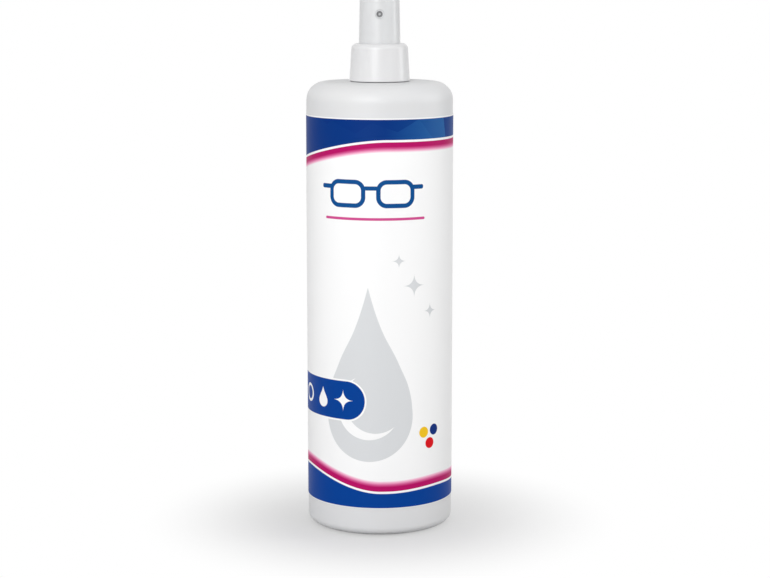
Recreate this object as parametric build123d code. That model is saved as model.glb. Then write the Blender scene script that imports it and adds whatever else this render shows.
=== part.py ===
"""Lens cleaning spray: a 250 ml cylinder bottle with a fine mist pump, taken apart into its pieces.

Millimetres. Z is up, and the origin is the centre of the foot ring that the bottle stands on.
The nozzle looks along -Y. The head is at rest, which is fully up, and the closure is screwed home.
"""

from build123d import *

import math
import os

# ---------------------------------------------------------------- bottle, blow moulded
body_radius = 25.0
body_height = 152.9  # foot ring to the flat of the shoulder
shoulder_round = 6.2
heel_round = 2.8
body_wall = 1.1
floor_wall = 1.3
foot_ring_width = 2.6
punt_height = 2.4  # how far the middle of the base is pushed up
neck_height = 7.0  # shoulder to the sealing land
neck_radius = 7.6  # root of the thread
neck_wall = 1.5
neck_foot_round = 0.6
neck_lip_round = 0.3
neck_block_inset = 0.5  # the neck is a solid of its own, out to this far inside the closure's foot

# ---------------------------------------------------------------- screw thread, one start
thread_pitch = 3.0
thread_depth = 1.0
thread_base_width = 1.5
thread_crest_width = 0.8
thread_turns = 1.05
thread_land_gap = 0.7  # sealing land to the upper end of the ridge
thread_root_bite = 0.25  # how deep a ridge is rooted in its wall
thread_radial_play = 0.15
thread_axial_play = 0.1

# ---------------------------------------------------------------- label, wrapped film
label_bottom = 9.7
label_height = 132.3
label_thickness = 0.12
label_glue = 0.02
label_seam_gap = 3.0  # bare strip between its two ends, at the back

# ---------------------------------------------------------------- closure, the screw collar
closure_shoulder_gap = 0.2
closure_wall = 1.55  # at its foot, outside the thread
closure_top_round = 1.9
closure_top_flat = 0.1  # between the rounding and the edge of the aperture
closure_deck = 1.1
closure_collar_wall = 0.85  # inner tube that clamps the pump's flange
closure_collar_gap = 0.05
closure_edge_round = 0.3

# ---------------------------------------------------------------- pump housing
gasket_thickness = 0.8
flange_thickness = 0.9
flange_thread_play = 0.05  # the flange and gasket slip in past the closure's thread
gasket_bore_play = 0.1
housing_wall = 0.9
guide_bore_radius = 4.6
housing_top_wall = 0.7
piston_bore_radius = 3.6
spring_bore_radius = 2.5
barrel_step = 0.8  # wall under a step in the bore
valve_passage_radius = 0.8
valve_passage_length = 1.4
vent_radius = 0.35
vent_drop = 1.2  # below the top of the piston bore

# ---------------------------------------------------------------- stroke, and gaps between moving pieces
stroke = 3.5
stroke_end_gap = 0.25
sliding_play = 0.03
press_gap = 0.02  # between two pieces pressed together

# ---------------------------------------------------------------- stem guide, which locks the stack in
guide_plug_depth = 5.0
guide_collar = 0.7
guide_collar_radius = 5.6
guide_tower_height = 0.9
guide_tower_radius = 3.2
guide_web = 1.0
guide_sleeve_play = 0.25
stem_hole_play = 0.08

# ---------------------------------------------------------------- piston
piston_height = 4.3
piston_top_gap = 0.15
piston_sleeve_wall = 0.7
piston_sleeve_rise = 1.9  # sleeve above the skirt
piston_skirt_wall = 0.45
piston_web = 0.9
piston_lip_height = 0.7
piston_waist_play = 0.2

# ---------------------------------------------------------------- stem and valve poppet
stem_radius = 2.0
stem_bore_radius = 0.75
stem_foot_gap = 1.15  # poppet head to the foot of the stem
stem_port_width = 0.7
stem_port_height = 0.9
poppet_head_radius = 2.95
poppet_head_height = 1.15
poppet_cone_height = 0.6
poppet_cone_radius = 2.3
poppet_neck_radius = 1.3
poppet_spigot_length = 3.0
poppet_flat = 0.35  # cut off one side of the spigot, to let the liquid by
poppet_rod_radius = 1.2
poppet_rod_length = 3.9
valve_seat_gap = 0.05

# ---------------------------------------------------------------- spring and inlet ball
spring_length = 8.6  # as fitted
spring_wire = 0.5
spring_coils = 7
spring_mean_radius = 2.0
spring_seat_gap = 0.02
ball_radius = 1.2
ball_lift = 0.8
ball_side_play = 0.3
ball_stop_gap = 0.05
ball_seat_gap = 0.02
ball_lip = 0.3
ball_lip_radius = 1.1
ball_lip_slot = 0.7

# ---------------------------------------------------------------- dip tube
tube_radius = 1.6
tube_bore_radius = 1.0
tube_socket_depth = 5.0
tube_floor_gap = 1.6
tube_cut_angle = 35.0

# ---------------------------------------------------------------- actuator, the head that is pressed
head_height = 17.15
head_foot_radius = 7.05
head_top_radius = 6.7
head_top_round = 2.5
head_wall = 0.9
head_ceiling = 1.1
dish_depth = 1.0
dish_rim = 0.2  # flat ring between the finger dish and the rounded top edge
dish_edge_round = 0.5
head_lap = 0.45  # skirt inside the closure at rest
head_side_play = 0.2
column_radius = 3.0
column_gap = 0.2  # to the guide's tower at full stroke
socket_depth = 4.0
socket_play = 0.04
stem_top_gap = 0.1
head_duct_radius = 0.7
feed_duct_radius = 0.35

# ---------------------------------------------------------------- nozzle insert
nozzle_drop = 6.85  # below the top of the head
nozzle_radius = 1.6
nozzle_sink = 0.15  # its face behind the round side
nozzle_length = 2.35
nozzle_boss_wall = 0.9
nozzle_floor_gap = 0.3
nozzle_cup_radius = 1.0
nozzle_face = 0.95
nozzle_ring_radius = 1.05
nozzle_hub_radius = 0.38
nozzle_ring_depth = 0.75
orifice_radius = 0.15
post_radius = 0.75
post_gap = 0.15

# ---------------------------------------------------------------- heights that follow from the sizes
land_z = body_height + neck_height
flange_bottom_z = land_z + gasket_thickness
flange_top_z = flange_bottom_z + flange_thickness
head_foot_z = flange_top_z + stroke_end_gap + stroke
closure_top_z = head_foot_z + head_lap
head_top_z = head_foot_z + head_height
nozzle_z = head_top_z - nozzle_drop

guide_foot_z = flange_top_z - guide_plug_depth
guide_top_z = flange_top_z + guide_collar + guide_tower_height
piston_top_z = guide_foot_z - piston_top_gap
piston_foot_z = piston_top_z - piston_height
poppet_seat_z = piston_foot_z - valve_seat_gap
poppet_foot_z = poppet_seat_z - poppet_head_height
stem_foot_z = poppet_seat_z + stem_foot_gap
column_foot_z = guide_top_z + stroke + column_gap
stem_top_z = column_foot_z + socket_depth - stem_top_gap

piston_bore_foot_z = poppet_foot_z - stroke - stroke_end_gap
spring_ledge_z = poppet_foot_z - spring_length
ball_lip_foot_z = spring_ledge_z - ball_lip
ball_top_reach = math.sqrt(ball_radius**2 - ball_lip_radius**2)  # centre of the ball to the lip's edge
ball_centre_z = ball_lip_foot_z - ball_top_reach - ball_stop_gap - ball_lift
ball_chamber_radius = ball_radius + ball_side_play
seat_apex_z = ball_centre_z - ball_seat_gap - ball_radius * math.sqrt(2)  # point of the 45 degree seat
seat_top_z = seat_apex_z + ball_chamber_radius
seat_foot_z = seat_apex_z + valve_passage_radius
tube_top_z = seat_foot_z - valve_passage_length
housing_foot_z = tube_top_z - tube_socket_depth
tube_foot_z = punt_height + floor_wall + tube_floor_gap

# ---------------------------------------------------------------- radii that follow from the sizes
neck_bore_radius = neck_radius - neck_wall
closure_bore_radius = neck_radius + thread_depth + thread_radial_play
closure_foot_radius = closure_bore_radius + closure_wall
neck_block_radius = closure_foot_radius - neck_block_inset
closure_aperture_radius = head_foot_radius + head_side_play
closure_top_radius = closure_aperture_radius + closure_edge_round + closure_top_flat + closure_top_round
flange_radius = closure_bore_radius - thread_depth - flange_thread_play
barrel_radius = guide_bore_radius + housing_top_wall
tube_socket_radius = tube_radius + press_gap
dish_radius = head_top_radius - head_top_round - dish_rim


def turned(outline, rounds=()):
    """A piece of revolution about Z from a closed run of (radius, height) corners.

    rounds holds (corner, rounding) pairs for the corners that aren't sharp.
    """
    face = Face(Wire.make_polygon([(radius, 0, height) for radius, height in outline], close=True))
    return revolve(rounded(face, rounds), Axis.Z)


def rounded(face, rounds):
    """The face with each named (radius, height) corner rounded off."""
    for (radius, height), rounding in rounds:
        corner = face.vertices().sort_by_distance((radius, 0, height))[0]
        face = face.fillet_2d(rounding, [corner])
    return face


def rod(radius, bottom, top):
    """An upright cylinder on the Z axis."""
    return Pos(0, 0, bottom) * Cylinder(radius, top - bottom, align=(Align.CENTER, Align.CENTER, Align.MIN))


def pin_to_front(radius, near, far, height):
    """A cylinder that lies along -Y, from near to far in front of the axis, at a height."""
    pin = Cylinder(radius, far - near, align=(Align.CENTER, Align.CENTER, Align.MIN))
    return Pos(0, -near, height) * Rot(90, 0, 0) * pin


def thread_ridge(wall_radius, crest_radius, foot_z):
    """One helical ridge between a wall and its crest, whose middle line starts at foot_z."""
    into_wall = thread_root_bite if crest_radius < wall_radius else -thread_root_bite
    flank = (thread_base_width - thread_crest_width) / 2 / thread_depth
    root_half = thread_base_width / 2 + thread_root_bite * flank
    crest_half = thread_crest_width / 2
    profile = Face(
        Wire.make_polygon(
            [
                (wall_radius + into_wall, 0, -root_half),
                (crest_radius, 0, -crest_half),
                (crest_radius, 0, crest_half),
                (wall_radius + into_wall, 0, root_half),
            ],
            close=True,
        )
    )
    path = Helix(thread_pitch, thread_pitch * thread_turns, wall_radius)
    return Pos(0, 0, foot_z) * sweep(profile, path, is_frenet=True)


def neck_thread_foot():
    """Height at which the middle line of the neck's ridge starts."""
    return land_z - thread_land_gap - thread_base_width / 2 - thread_pitch * thread_turns


def closure_thread_foot():
    """The closure's ridge bears on the underside of the neck's, so it starts a flank below it."""
    return neck_thread_foot() - (thread_base_width + thread_crest_width) / 2 - thread_axial_play


# ---------------------------------------------------------------- the pieces


def make_bottle():
    """Cylinder bottle with a pushed-up base, a flat rounded shoulder and a short threaded neck.

    It is one moulding, made as two solids that meet under the closure: the body, and the neck with the
    shoulder next to it, so that the collision pieces of each stay simple and leave the bore open.
    """
    inner_radius = body_radius - body_wall
    inner_top = body_height - body_wall
    foot_inner = body_radius - heel_round - foot_ring_width
    outer_base = TangentArc((0, 0, punt_height), (foot_inner, 0, 0), tangent=(1, 0, 0))
    inner_base = TangentArc((0, 0, punt_height + floor_wall), (foot_inner, 0, floor_wall), tangent=(1, 0, 0))
    wall = Polyline(
        (foot_inner, 0, 0),
        (body_radius, 0, 0),
        (body_radius, 0, body_height),
        (neck_radius, 0, body_height),
        (neck_radius, 0, land_z),
        (neck_bore_radius, 0, land_z),
        (neck_bore_radius, 0, inner_top),
        (inner_radius, 0, inner_top),
        (inner_radius, 0, floor_wall),
        (foot_inner, 0, floor_wall),
    )
    middle = Line((0, 0, punt_height + floor_wall), (0, 0, punt_height))
    section = Face(Wire([outer_base, *wall.edges(), inner_base, middle]))
    section = rounded(
        section,
        [
            ((body_radius, 0), heel_round),
            ((body_radius, body_height), shoulder_round),
            ((neck_radius, body_height), neck_foot_round),
            ((neck_radius, land_z), neck_lip_round),
            ((neck_bore_radius, inner_top), neck_foot_round),
            ((inner_radius, inner_top), shoulder_round - body_wall),
            ((inner_radius, floor_wall), heel_round),
        ],
    )
    ridge = thread_ridge(neck_radius, neck_radius + thread_depth, neck_thread_foot())
    whole = revolve(section, Axis.Z) + ridge
    block = rod(neck_block_radius, inner_top - body_wall, land_z + body_wall)
    body = whole - block
    neck = whole & block
    return Compound([*body.solids(), *neck.solids()])


def make_label():
    """Film label: one wrap round the straight wall, its ends a short gap apart at the back."""
    inner = body_radius + label_glue
    outer = inner + label_thickness
    gap_angle = math.degrees(label_seam_gap / outer)
    strip = Face(
        Wire.make_polygon(
            [
                (inner, 0, label_bottom),
                (outer, 0, label_bottom),
                (outer, 0, label_bottom + label_height),
                (inner, 0, label_bottom + label_height),
            ],
            close=True,
        )
    )
    return Rot(0, 0, 90 + gap_angle / 2) * revolve(strip, Axis.Z, 360 - gap_angle)


def make_closure():
    """Smooth screw collar. A tube under its deck clamps the pump's flange on the neck."""
    foot_z = body_height + closure_shoulder_gap
    collar_radius = closure_aperture_radius + closure_collar_wall
    collar_foot = flange_top_z + closure_collar_gap
    deck_foot = closure_top_z - closure_deck
    shell = turned(
        [
            (closure_bore_radius, foot_z),
            (closure_foot_radius, foot_z),
            (closure_top_radius, closure_top_z),
            (closure_aperture_radius, closure_top_z),
            (closure_aperture_radius, collar_foot),
            (collar_radius, collar_foot),
            (collar_radius, deck_foot),
            (closure_bore_radius, deck_foot),
        ],
        [
            ((closure_top_radius, closure_top_z), closure_top_round),
            ((closure_aperture_radius, closure_top_z), closure_edge_round),
            ((closure_foot_radius, foot_z), closure_edge_round),
        ],
    )
    ridge = thread_ridge(closure_bore_radius, closure_bore_radius - thread_depth, closure_thread_foot())
    return shell + ridge


def make_gasket():
    """Foam washer between the neck's land and the pump's flange."""
    bore = barrel_radius + gasket_bore_play
    return rod(flange_radius, land_z, flange_bottom_z) - rod(bore, land_z, flange_bottom_z)


def make_pump_housing():
    """Stepped barrel: flange, guide bore, piston bore, spring bore, ball seat and tube socket."""
    piston_bore_top = guide_foot_z - press_gap
    piston_cone = piston_bore_radius - spring_bore_radius
    piston_barrel = piston_bore_radius + housing_wall
    spring_barrel = spring_bore_radius + housing_wall
    tube_barrel = tube_socket_radius + housing_wall
    piston_barrel_foot = piston_bore_foot_z - piston_cone
    body = turned(
        [
            (0, housing_foot_z),
            (tube_barrel, housing_foot_z),
            (tube_barrel, spring_ledge_z - barrel_step),
            (spring_barrel, spring_ledge_z - barrel_step),
            (spring_barrel, piston_barrel_foot),
            (piston_barrel, piston_bore_foot_z),
            (piston_barrel, piston_bore_top - barrel_step),
            (barrel_radius, piston_bore_top - barrel_step),
            (barrel_radius, flange_bottom_z),
            (flange_radius, flange_bottom_z),
            (flange_radius, flange_top_z),
            (0, flange_top_z),
        ]
    )
    bore = turned(
        [
            (0, housing_foot_z),
            (tube_socket_radius, housing_foot_z),
            (tube_socket_radius, tube_top_z),
            (valve_passage_radius, tube_top_z),
            (valve_passage_radius, seat_foot_z),
            (ball_chamber_radius, seat_top_z),
            (ball_chamber_radius, ball_lip_foot_z),
            (ball_lip_radius, ball_lip_foot_z),
            (ball_lip_radius, spring_ledge_z),
            (spring_bore_radius, spring_ledge_z),
            (spring_bore_radius, piston_barrel_foot),
            (piston_bore_radius, piston_bore_foot_z),
            (piston_bore_radius, piston_bore_top),
            (guide_bore_radius, piston_bore_top),
            (guide_bore_radius, flange_top_z),
            (0, flange_top_z),
        ]
    )
    slot = Box(
        2 * ball_chamber_radius, ball_lip_slot, ball_lip, align=(Align.CENTER, Align.CENTER, Align.MIN)
    )
    lip_slots = Pos(0, 0, ball_lip_foot_z) * (slot + Rot(0, 0, 90) * slot)
    vent = pin_to_front(vent_radius, 0, 2 * barrel_radius, piston_bore_top - vent_drop)
    return body - bore - lip_slots - vent


def make_stem_guide():
    """Ring pressed into the top of the housing: it stops the piston and lets the stem through."""
    plug_radius = guide_bore_radius - press_gap
    hole_radius = stem_radius + stem_hole_play
    sleeve_radius = stem_radius + sliding_play + piston_sleeve_wall + guide_sleeve_play
    tower_foot = flange_top_z + guide_collar
    return turned(
        [
            (sleeve_radius, guide_foot_z),
            (plug_radius, guide_foot_z),
            (plug_radius, flange_top_z),
            (guide_collar_radius, flange_top_z),
            (guide_collar_radius, tower_foot),
            (guide_tower_radius, tower_foot),
            (guide_tower_radius, guide_top_z),
            (hole_radius, guide_top_z),
            (hole_radius, flange_top_z - guide_web),
            (sleeve_radius, flange_top_z - guide_web),
        ]
    )


def make_piston():
    """Sleeve that slides on the stem, with a skirt whose two lips wipe the piston bore."""
    bore = stem_radius + sliding_play
    sleeve = bore + piston_sleeve_wall
    lip = piston_bore_radius - sliding_play
    waist = lip - piston_waist_play
    skirt = waist - piston_skirt_wall
    web_foot = (piston_foot_z + piston_top_z - piston_web) / 2
    web_top = web_foot + piston_web
    sleeve_top = piston_top_z + piston_sleeve_rise
    return turned(
        [
            (bore, piston_foot_z),
            (sleeve, piston_foot_z),
            (sleeve, web_foot),
            (skirt, web_foot),
            (skirt, piston_foot_z),
            (lip, piston_foot_z),
            (lip, piston_foot_z + piston_lip_height / 2),
            (waist, piston_foot_z + piston_lip_height),
            (waist, piston_top_z - piston_lip_height),
            (lip, piston_top_z - piston_lip_height / 2),
            (lip, piston_top_z),
            (skirt, piston_top_z),
            (skirt, web_top),
            (sleeve, web_top),
            (sleeve, sleeve_top),
            (bore, sleeve_top),
        ]
    )


def make_stem():
    """Hollow rod that carries the head and sends the liquid up. Cross slots in its foot are the inlet."""
    tube = rod(stem_radius, stem_foot_z, stem_top_z) - rod(stem_bore_radius, stem_foot_z, stem_top_z)
    slot = Box(
        3 * stem_radius, stem_port_width, stem_port_height, align=(Align.CENTER, Align.CENTER, Align.MIN)
    )
    return tube - Pos(0, 0, stem_foot_z) * (slot + Rot(0, 0, 90) * slot)


def make_valve_poppet():
    """Outlet valve: its head closes the piston from below, and its spigot is pressed into the stem."""
    spigot_radius = stem_bore_radius - press_gap
    spigot_top = stem_foot_z + poppet_spigot_length
    rod_foot = poppet_foot_z - poppet_rod_length
    cone_foot = poppet_seat_z - poppet_cone_height
    body = turned(
        [
            (0, rod_foot),
            (poppet_rod_radius, rod_foot),
            (poppet_rod_radius, poppet_foot_z),
            (poppet_head_radius, poppet_foot_z),
            (poppet_head_radius, cone_foot),
            (poppet_cone_radius, poppet_seat_z),
            (poppet_neck_radius, poppet_seat_z),
            (poppet_neck_radius, stem_foot_z),
            (spigot_radius, stem_foot_z),
            (spigot_radius, spigot_top),
            (0, spigot_top),
        ]
    )
    flat = Pos(spigot_radius - poppet_flat, 0, stem_foot_z) * Box(
        spigot_radius, 2 * spigot_radius, poppet_spigot_length, align=(Align.MIN, Align.CENTER, Align.MIN)
    )
    return body - flat


def make_return_spring():
    """Stainless compression spring, open ended, from the housing's ledge to the poppet's head."""
    rise = spring_length - spring_wire - 2 * spring_seat_gap
    path = Helix(rise / spring_coils, rise, spring_mean_radius)
    wire_section = Pos(spring_mean_radius, 0, 0) * Rot(90, 0, 0) * Circle(spring_wire / 2).face()
    return Pos(0, 0, spring_ledge_z + spring_seat_gap + spring_wire / 2) * sweep(
        wire_section, path, is_frenet=True
    )


def make_check_ball():
    """Inlet ball, which drops onto its seat when the head is pressed."""
    return Pos(0, 0, ball_centre_z) * Sphere(ball_radius)


def make_dip_tube():
    """Suction tube, from its socket to just above the bottle's floor, where it is cut at a slant."""
    top = tube_top_z - press_gap
    tube = rod(tube_radius, tube_foot_z, top) - rod(tube_bore_radius, tube_foot_z, top)
    knife = Pos(tube_radius, 0, tube_foot_z) * Rot(0, tube_cut_angle, 0) * Box(
        8 * tube_radius, 4 * tube_radius, 4 * tube_radius, align=(Align.MAX, Align.CENTER, Align.MAX)
    )
    return tube - knife


def make_actuator():
    """Head with a finger dish, a skirt, a socket for the stem and a seat for the nozzle."""
    dish = TangentArc((0, 0, head_top_z - dish_depth), (dish_radius, 0, head_top_z), tangent=(1, 0, 0))
    side = Polyline(
        (dish_radius, 0, head_top_z),
        (head_top_radius, 0, head_top_z),
        (head_foot_radius, 0, head_foot_z),
        (0, 0, head_foot_z),
        (0, 0, head_top_z - dish_depth),
    )
    section = rounded(
        Face(Wire([dish, *side.edges()])),
        [
            ((head_top_radius, head_top_z), head_top_round),
            ((dish_radius, head_top_z), dish_edge_round),
        ],
    )
    solid_head = revolve(section, Axis.Z)
    ceiling_z = head_top_z - dish_depth - head_ceiling
    inside = turned(
        [
            (column_radius, ceiling_z),
            (head_top_radius - head_wall, ceiling_z),
            (head_foot_radius - head_wall, head_foot_z),
            (0, head_foot_z),
            (0, column_foot_z),
            (column_radius, column_foot_z),
        ]
    )
    face_y = head_top_radius - nozzle_sink
    seat_floor = face_y - nozzle_length - nozzle_floor_gap
    cup_floor = face_y - nozzle_face
    boss = pin_to_front(nozzle_radius + nozzle_boss_wall, 0, face_y - nozzle_sink, nozzle_z)
    seat = pin_to_front(nozzle_radius, seat_floor, 2 * head_foot_radius, nozzle_z)
    post = pin_to_front(post_radius, seat_floor, cup_floor - post_gap, nozzle_z)
    socket = rod(stem_radius + socket_play, column_foot_z, column_foot_z + socket_depth)
    duct = rod(head_duct_radius, column_foot_z + socket_depth, nozzle_z)
    feed_z = nozzle_z - (nozzle_radius + post_radius) / 2
    feed = pin_to_front(feed_duct_radius, 0, seat_floor + feed_duct_radius, feed_z)
    return solid_head - inside + boss - seat + post - socket - duct - feed


def make_nozzle_insert():
    """Small cup pressed into the head. A ring-shaped recess surrounds the hub with the spray orifice."""
    face_y = head_top_radius - nozzle_sink
    radius = nozzle_radius - press_gap
    cup_floor = face_y - nozzle_face
    body = pin_to_front(radius, face_y - nozzle_length, face_y, nozzle_z)
    cup = pin_to_front(nozzle_cup_radius, face_y - nozzle_length, cup_floor, nozzle_z)
    ring = pin_to_front(nozzle_ring_radius, face_y - nozzle_ring_depth, face_y, nozzle_z)
    hub = pin_to_front(nozzle_hub_radius, face_y - nozzle_ring_depth, face_y, nozzle_z)
    orifice = pin_to_front(orifice_radius, cup_floor, face_y, nozzle_z)
    return body - cup - (ring - hub) - orifice


pieces = {
    "bottle": make_bottle,
    "label": make_label,
    "closure": make_closure,
    "neck_gasket": make_gasket,
    "pump_housing": make_pump_housing,
    "stem_guide": make_stem_guide,
    "piston": make_piston,
    "stem": make_stem,
    "valve_poppet": make_valve_poppet,
    "return_spring": make_return_spring,
    "check_ball": make_check_ball,
    "dip_tube": make_dip_tube,
    "actuator": make_actuator,
    "nozzle_insert": make_nozzle_insert,
}

os.makedirs("parts", exist_ok=True)
for name, make in pieces.items():
    export_step(make(), f"parts/{name}.step")
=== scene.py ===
# %% [markdown]
# # A lens cleaning spray
# The object is a 250 ml bottle with a fine mist pump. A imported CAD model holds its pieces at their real
# size, and it is the frame here: nothing in it is moved. This file dresses it. The pieces that show are
# turned again with finer roundings and edges, the label is cut flat, printed and wrapped, and every piece
# gets the finish of the plastic, film or steel that it is made of.

# %% Load the fixed frame
import math

import bmesh
import bpy
from mathutils import Euler, Matrix, Vector


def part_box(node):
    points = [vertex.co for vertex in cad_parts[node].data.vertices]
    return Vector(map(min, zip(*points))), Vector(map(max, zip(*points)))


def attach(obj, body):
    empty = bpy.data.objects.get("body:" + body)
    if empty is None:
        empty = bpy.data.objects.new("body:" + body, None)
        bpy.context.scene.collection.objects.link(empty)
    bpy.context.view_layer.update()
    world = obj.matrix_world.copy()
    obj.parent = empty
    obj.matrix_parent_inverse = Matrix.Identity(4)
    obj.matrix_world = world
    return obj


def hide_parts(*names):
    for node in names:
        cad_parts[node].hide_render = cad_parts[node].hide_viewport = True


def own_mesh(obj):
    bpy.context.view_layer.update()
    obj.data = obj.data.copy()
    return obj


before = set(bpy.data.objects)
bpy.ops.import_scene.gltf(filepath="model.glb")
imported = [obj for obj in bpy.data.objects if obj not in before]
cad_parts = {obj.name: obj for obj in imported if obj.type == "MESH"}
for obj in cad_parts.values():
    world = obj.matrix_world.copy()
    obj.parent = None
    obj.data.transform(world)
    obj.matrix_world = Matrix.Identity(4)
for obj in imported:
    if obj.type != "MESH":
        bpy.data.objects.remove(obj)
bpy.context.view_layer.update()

# %% [markdown]
# ## Sizes
# Blender works in metres and a bottle is drawn in millimetres, so sizes are written in millimetres and
# multiplied by MM once, where a mesh starts. They could all be typed in, but the CAD model knows many of
# them, so each piece reads its own box from the frame and stays true to it.

# %% Read sizes from the frame
MM = 0.001


def low_high(node):
    """Lowest and highest corner of a CAD node, in millimetres."""
    low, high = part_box(node)
    return low / MM, high / MM


_, bottle_high = low_high("bottle")
body_radius, land_z = bottle_high.x, bottle_high.z
print(f"the body is {2 * body_radius:.2f} mm across, and the neck ends at {land_z:.2f} mm")

# %% [markdown]
# ## Colours and nodes
# Colours are written as sRGB hex values, because those are what an eye compares. A shader works with linear
# light, so one function converts them. A second one adds a node, sets it and links it, and it serves every
# kind of node, so that a material reads as a list of its nodes.

# %% Helpers for materials


def srgb(code):
    """Linear RGBA from an sRGB hex code such as #E6E6E8."""
    channels = [int(code[place : place + 2], 16) / 255 for place in (1, 3, 5)]
    linear = [c / 12.92 if c <= 0.04045 else ((c + 0.055) / 1.055) ** 2.4 for c in channels]
    return (*linear, 1.0)


def add_node(tree, kind, inputs=(), **settings):
    """Adds a shader node. inputs gives its sockets a value, or another socket to be linked to."""
    node = tree.nodes.new("ShaderNode" + kind)
    for name, value in settings.items():
        setattr(node, name, value)
    for socket, value in dict(inputs).items():
        if isinstance(value, bpy.types.NodeSocket):
            tree.links.new(value, node.inputs[socket])
        else:
            node.inputs[socket].default_value = value
    return node


def new_material(name):
    """An empty node material and its tree."""
    material = bpy.data.materials.new(name)
    material.use_nodes = True
    material.node_tree.nodes.clear()
    return material, material.node_tree


print("sRGB #808080 is", round(srgb("#808080")[0], 3), "in linear light")

# %% [markdown]
# ## The camera
# The bottle is seen from a little above its head, about 0.7 m away. From there, with a lens of 93 mm, the
# sides stay nearly parallel, while the rims open from a thin ellipse at the top to a fuller one at the foot.

# %% Place the camera
scene = bpy.context.scene
camera_data = bpy.data.cameras.new("camera")
camera_data.sensor_width = 36.0
camera_data.lens = 92.83
camera_data.clip_start = 0.01
camera = bpy.data.objects.new("camera", camera_data)
camera.location = (0, -0.6789, 0.1894)
camera.rotation_euler = Euler((math.radians(90 - 9.05), 0, math.radians(-0.153)))
scene.collection.objects.link(camera)
scene.camera = camera
print("camera at", tuple(camera.location), "with a lens of", camera_data.lens, "mm")

# %% [markdown]
# ## Moulded plastics
# The white pieces are polyolefins or acetal, and they differ in how they were made. The bottle was blown
# against a sand-blasted mould, so it is satin and its wall is a little uneven. The closure and the head were
# injected against polished steel, so they are smoother and glossier. Light goes a millimetre or so into
# such a plastic and comes out beside it, which softens its shadows: that is subsurface scattering.

# %% Blown polyethylene, for the bottle


def blown_polyethylene():
    """Satin white plastic with a wavy wall, a blasted grain and the fine line where the mould parts."""
    material, tree = new_material("blown_polyethylene")
    place = add_node(tree, "TexCoord").outputs["Object"]
    # The wall is thicker here and thinner there, which bends reflections over a centimetre or two.
    wall = add_node(tree, "TexNoise", {"Vector": place, "Scale": 1 / (16 * MM), "Detail": 1.0})
    # Blasting leaves pits of about 0.1 mm. They are drawn at 0.3 mm, or they would be too fine to show.
    blast = add_node(tree, "TexNoise", {"Vector": place, "Scale": 1 / (0.3 * MM), "Detail": 2.0})
    # The two mould halves meet in the plane Y = 0. The line they leave fades out 0.12 mm to either side.
    across = add_node(tree, "SeparateXYZ", {0: place}).outputs["Y"]
    off_line = add_node(tree, "Math", {0: across}, operation="ABSOLUTE").outputs[0]
    line = add_node(
        tree,
        "MapRange",
        {"Value": off_line, "From Min": 0.0, "From Max": 0.12 * MM, "To Min": 1.0, "To Max": 0.0},
        interpolation_type="SMOOTHSTEP",
    )
    wavy = add_node(
        tree, "Bump", {"Strength": 1.0, "Distance": 0.06 * MM, "Height": wall.outputs["Fac"]}
    )
    grainy = add_node(
        tree,
        "Bump",
        {
            "Strength": 1.0,
            "Distance": 0.004 * MM,
            "Height": blast.outputs["Fac"],
            "Normal": wavy.outputs["Normal"],
        },
    )
    parted = add_node(
        tree,
        "Bump",
        {
            "Strength": 1.0,
            "Distance": 0.03 * MM,
            "Height": line.outputs["Result"],
            "Normal": grainy.outputs["Normal"],
        },
    )
    # Thin places let more light through and look a touch cooler.
    colour = add_node(
        tree,
        "Mix",
        {"Factor": wall.outputs["Fac"], "A": srgb("#D7D8DA"), "B": srgb("#DBDBDB")},
        data_type="RGBA",
    )
    roughness = add_node(
        tree, "MapRange", {"Value": blast.outputs["Fac"], "To Min": 0.38, "To Max": 0.50}
    )
    shader = add_node(
        tree,
        "BsdfPrincipled",
        {
            "Base Color": colour.outputs["Result"],
            "Roughness": roughness.outputs["Result"],
            "IOR": 1.54,
            "Subsurface Weight": 0.25,
            "Subsurface Radius": (1.0, 0.95, 0.9),
            "Subsurface Scale": 1.2 * MM,
            "Normal": parted.outputs["Normal"],
        },
    )
    add_node(tree, "OutputMaterial", {"Surface": shader.outputs[0]})
    return material


bottle_plastic = blown_polyethylene()
print("made", bottle_plastic.name)

# %% [markdown]
# The injected pieces share one recipe. What differs is the plastic's own colour and refraction, how well its
# mould was polished, and the size of the soft flow marks where the melt cooled first.

# %% Injected plastics


def injected_plastic(name, colour, ior, roughness, flow_mm, spread=0.04):
    """A smooth moulded plastic with soft flow marks of about flow_mm."""
    material, tree = new_material(name)
    place = add_node(tree, "TexCoord").outputs["Object"]
    flow = add_node(tree, "TexNoise", {"Vector": place, "Scale": 1 / (flow_mm * MM), "Detail": 1.5})
    # The mould's polish differs from spot to spot, which is drawn at 0.4 mm.
    polish = add_node(tree, "TexNoise", {"Vector": place, "Scale": 1 / (0.4 * MM), "Detail": 2.0})
    marked = add_node(
        tree, "Bump", {"Strength": 1.0, "Distance": 0.012 * MM, "Height": flow.outputs["Fac"]}
    )
    shade = tuple(0.97 * channel for channel in srgb(colour)[:3]) + (1.0,)
    tint = add_node(
        tree, "Mix", {"Factor": flow.outputs["Fac"], "A": shade, "B": srgb(colour)}, data_type="RGBA"
    )
    gloss = add_node(
        tree,
        "MapRange",
        {"Value": polish.outputs["Fac"], "To Min": roughness - spread, "To Max": roughness + spread},
    )
    shader = add_node(
        tree,
        "BsdfPrincipled",
        {
            "Base Color": tint.outputs["Result"],
            "Roughness": gloss.outputs["Result"],
            "IOR": ior,
            "Subsurface Weight": 0.2,
            "Subsurface Radius": (1.0, 0.95, 0.9),
            "Subsurface Scale": 0.5 * MM,
            "Normal": marked.outputs["Normal"],
        },
    )
    add_node(tree, "OutputMaterial", {"Surface": shader.outputs[0]})
    return material


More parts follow.
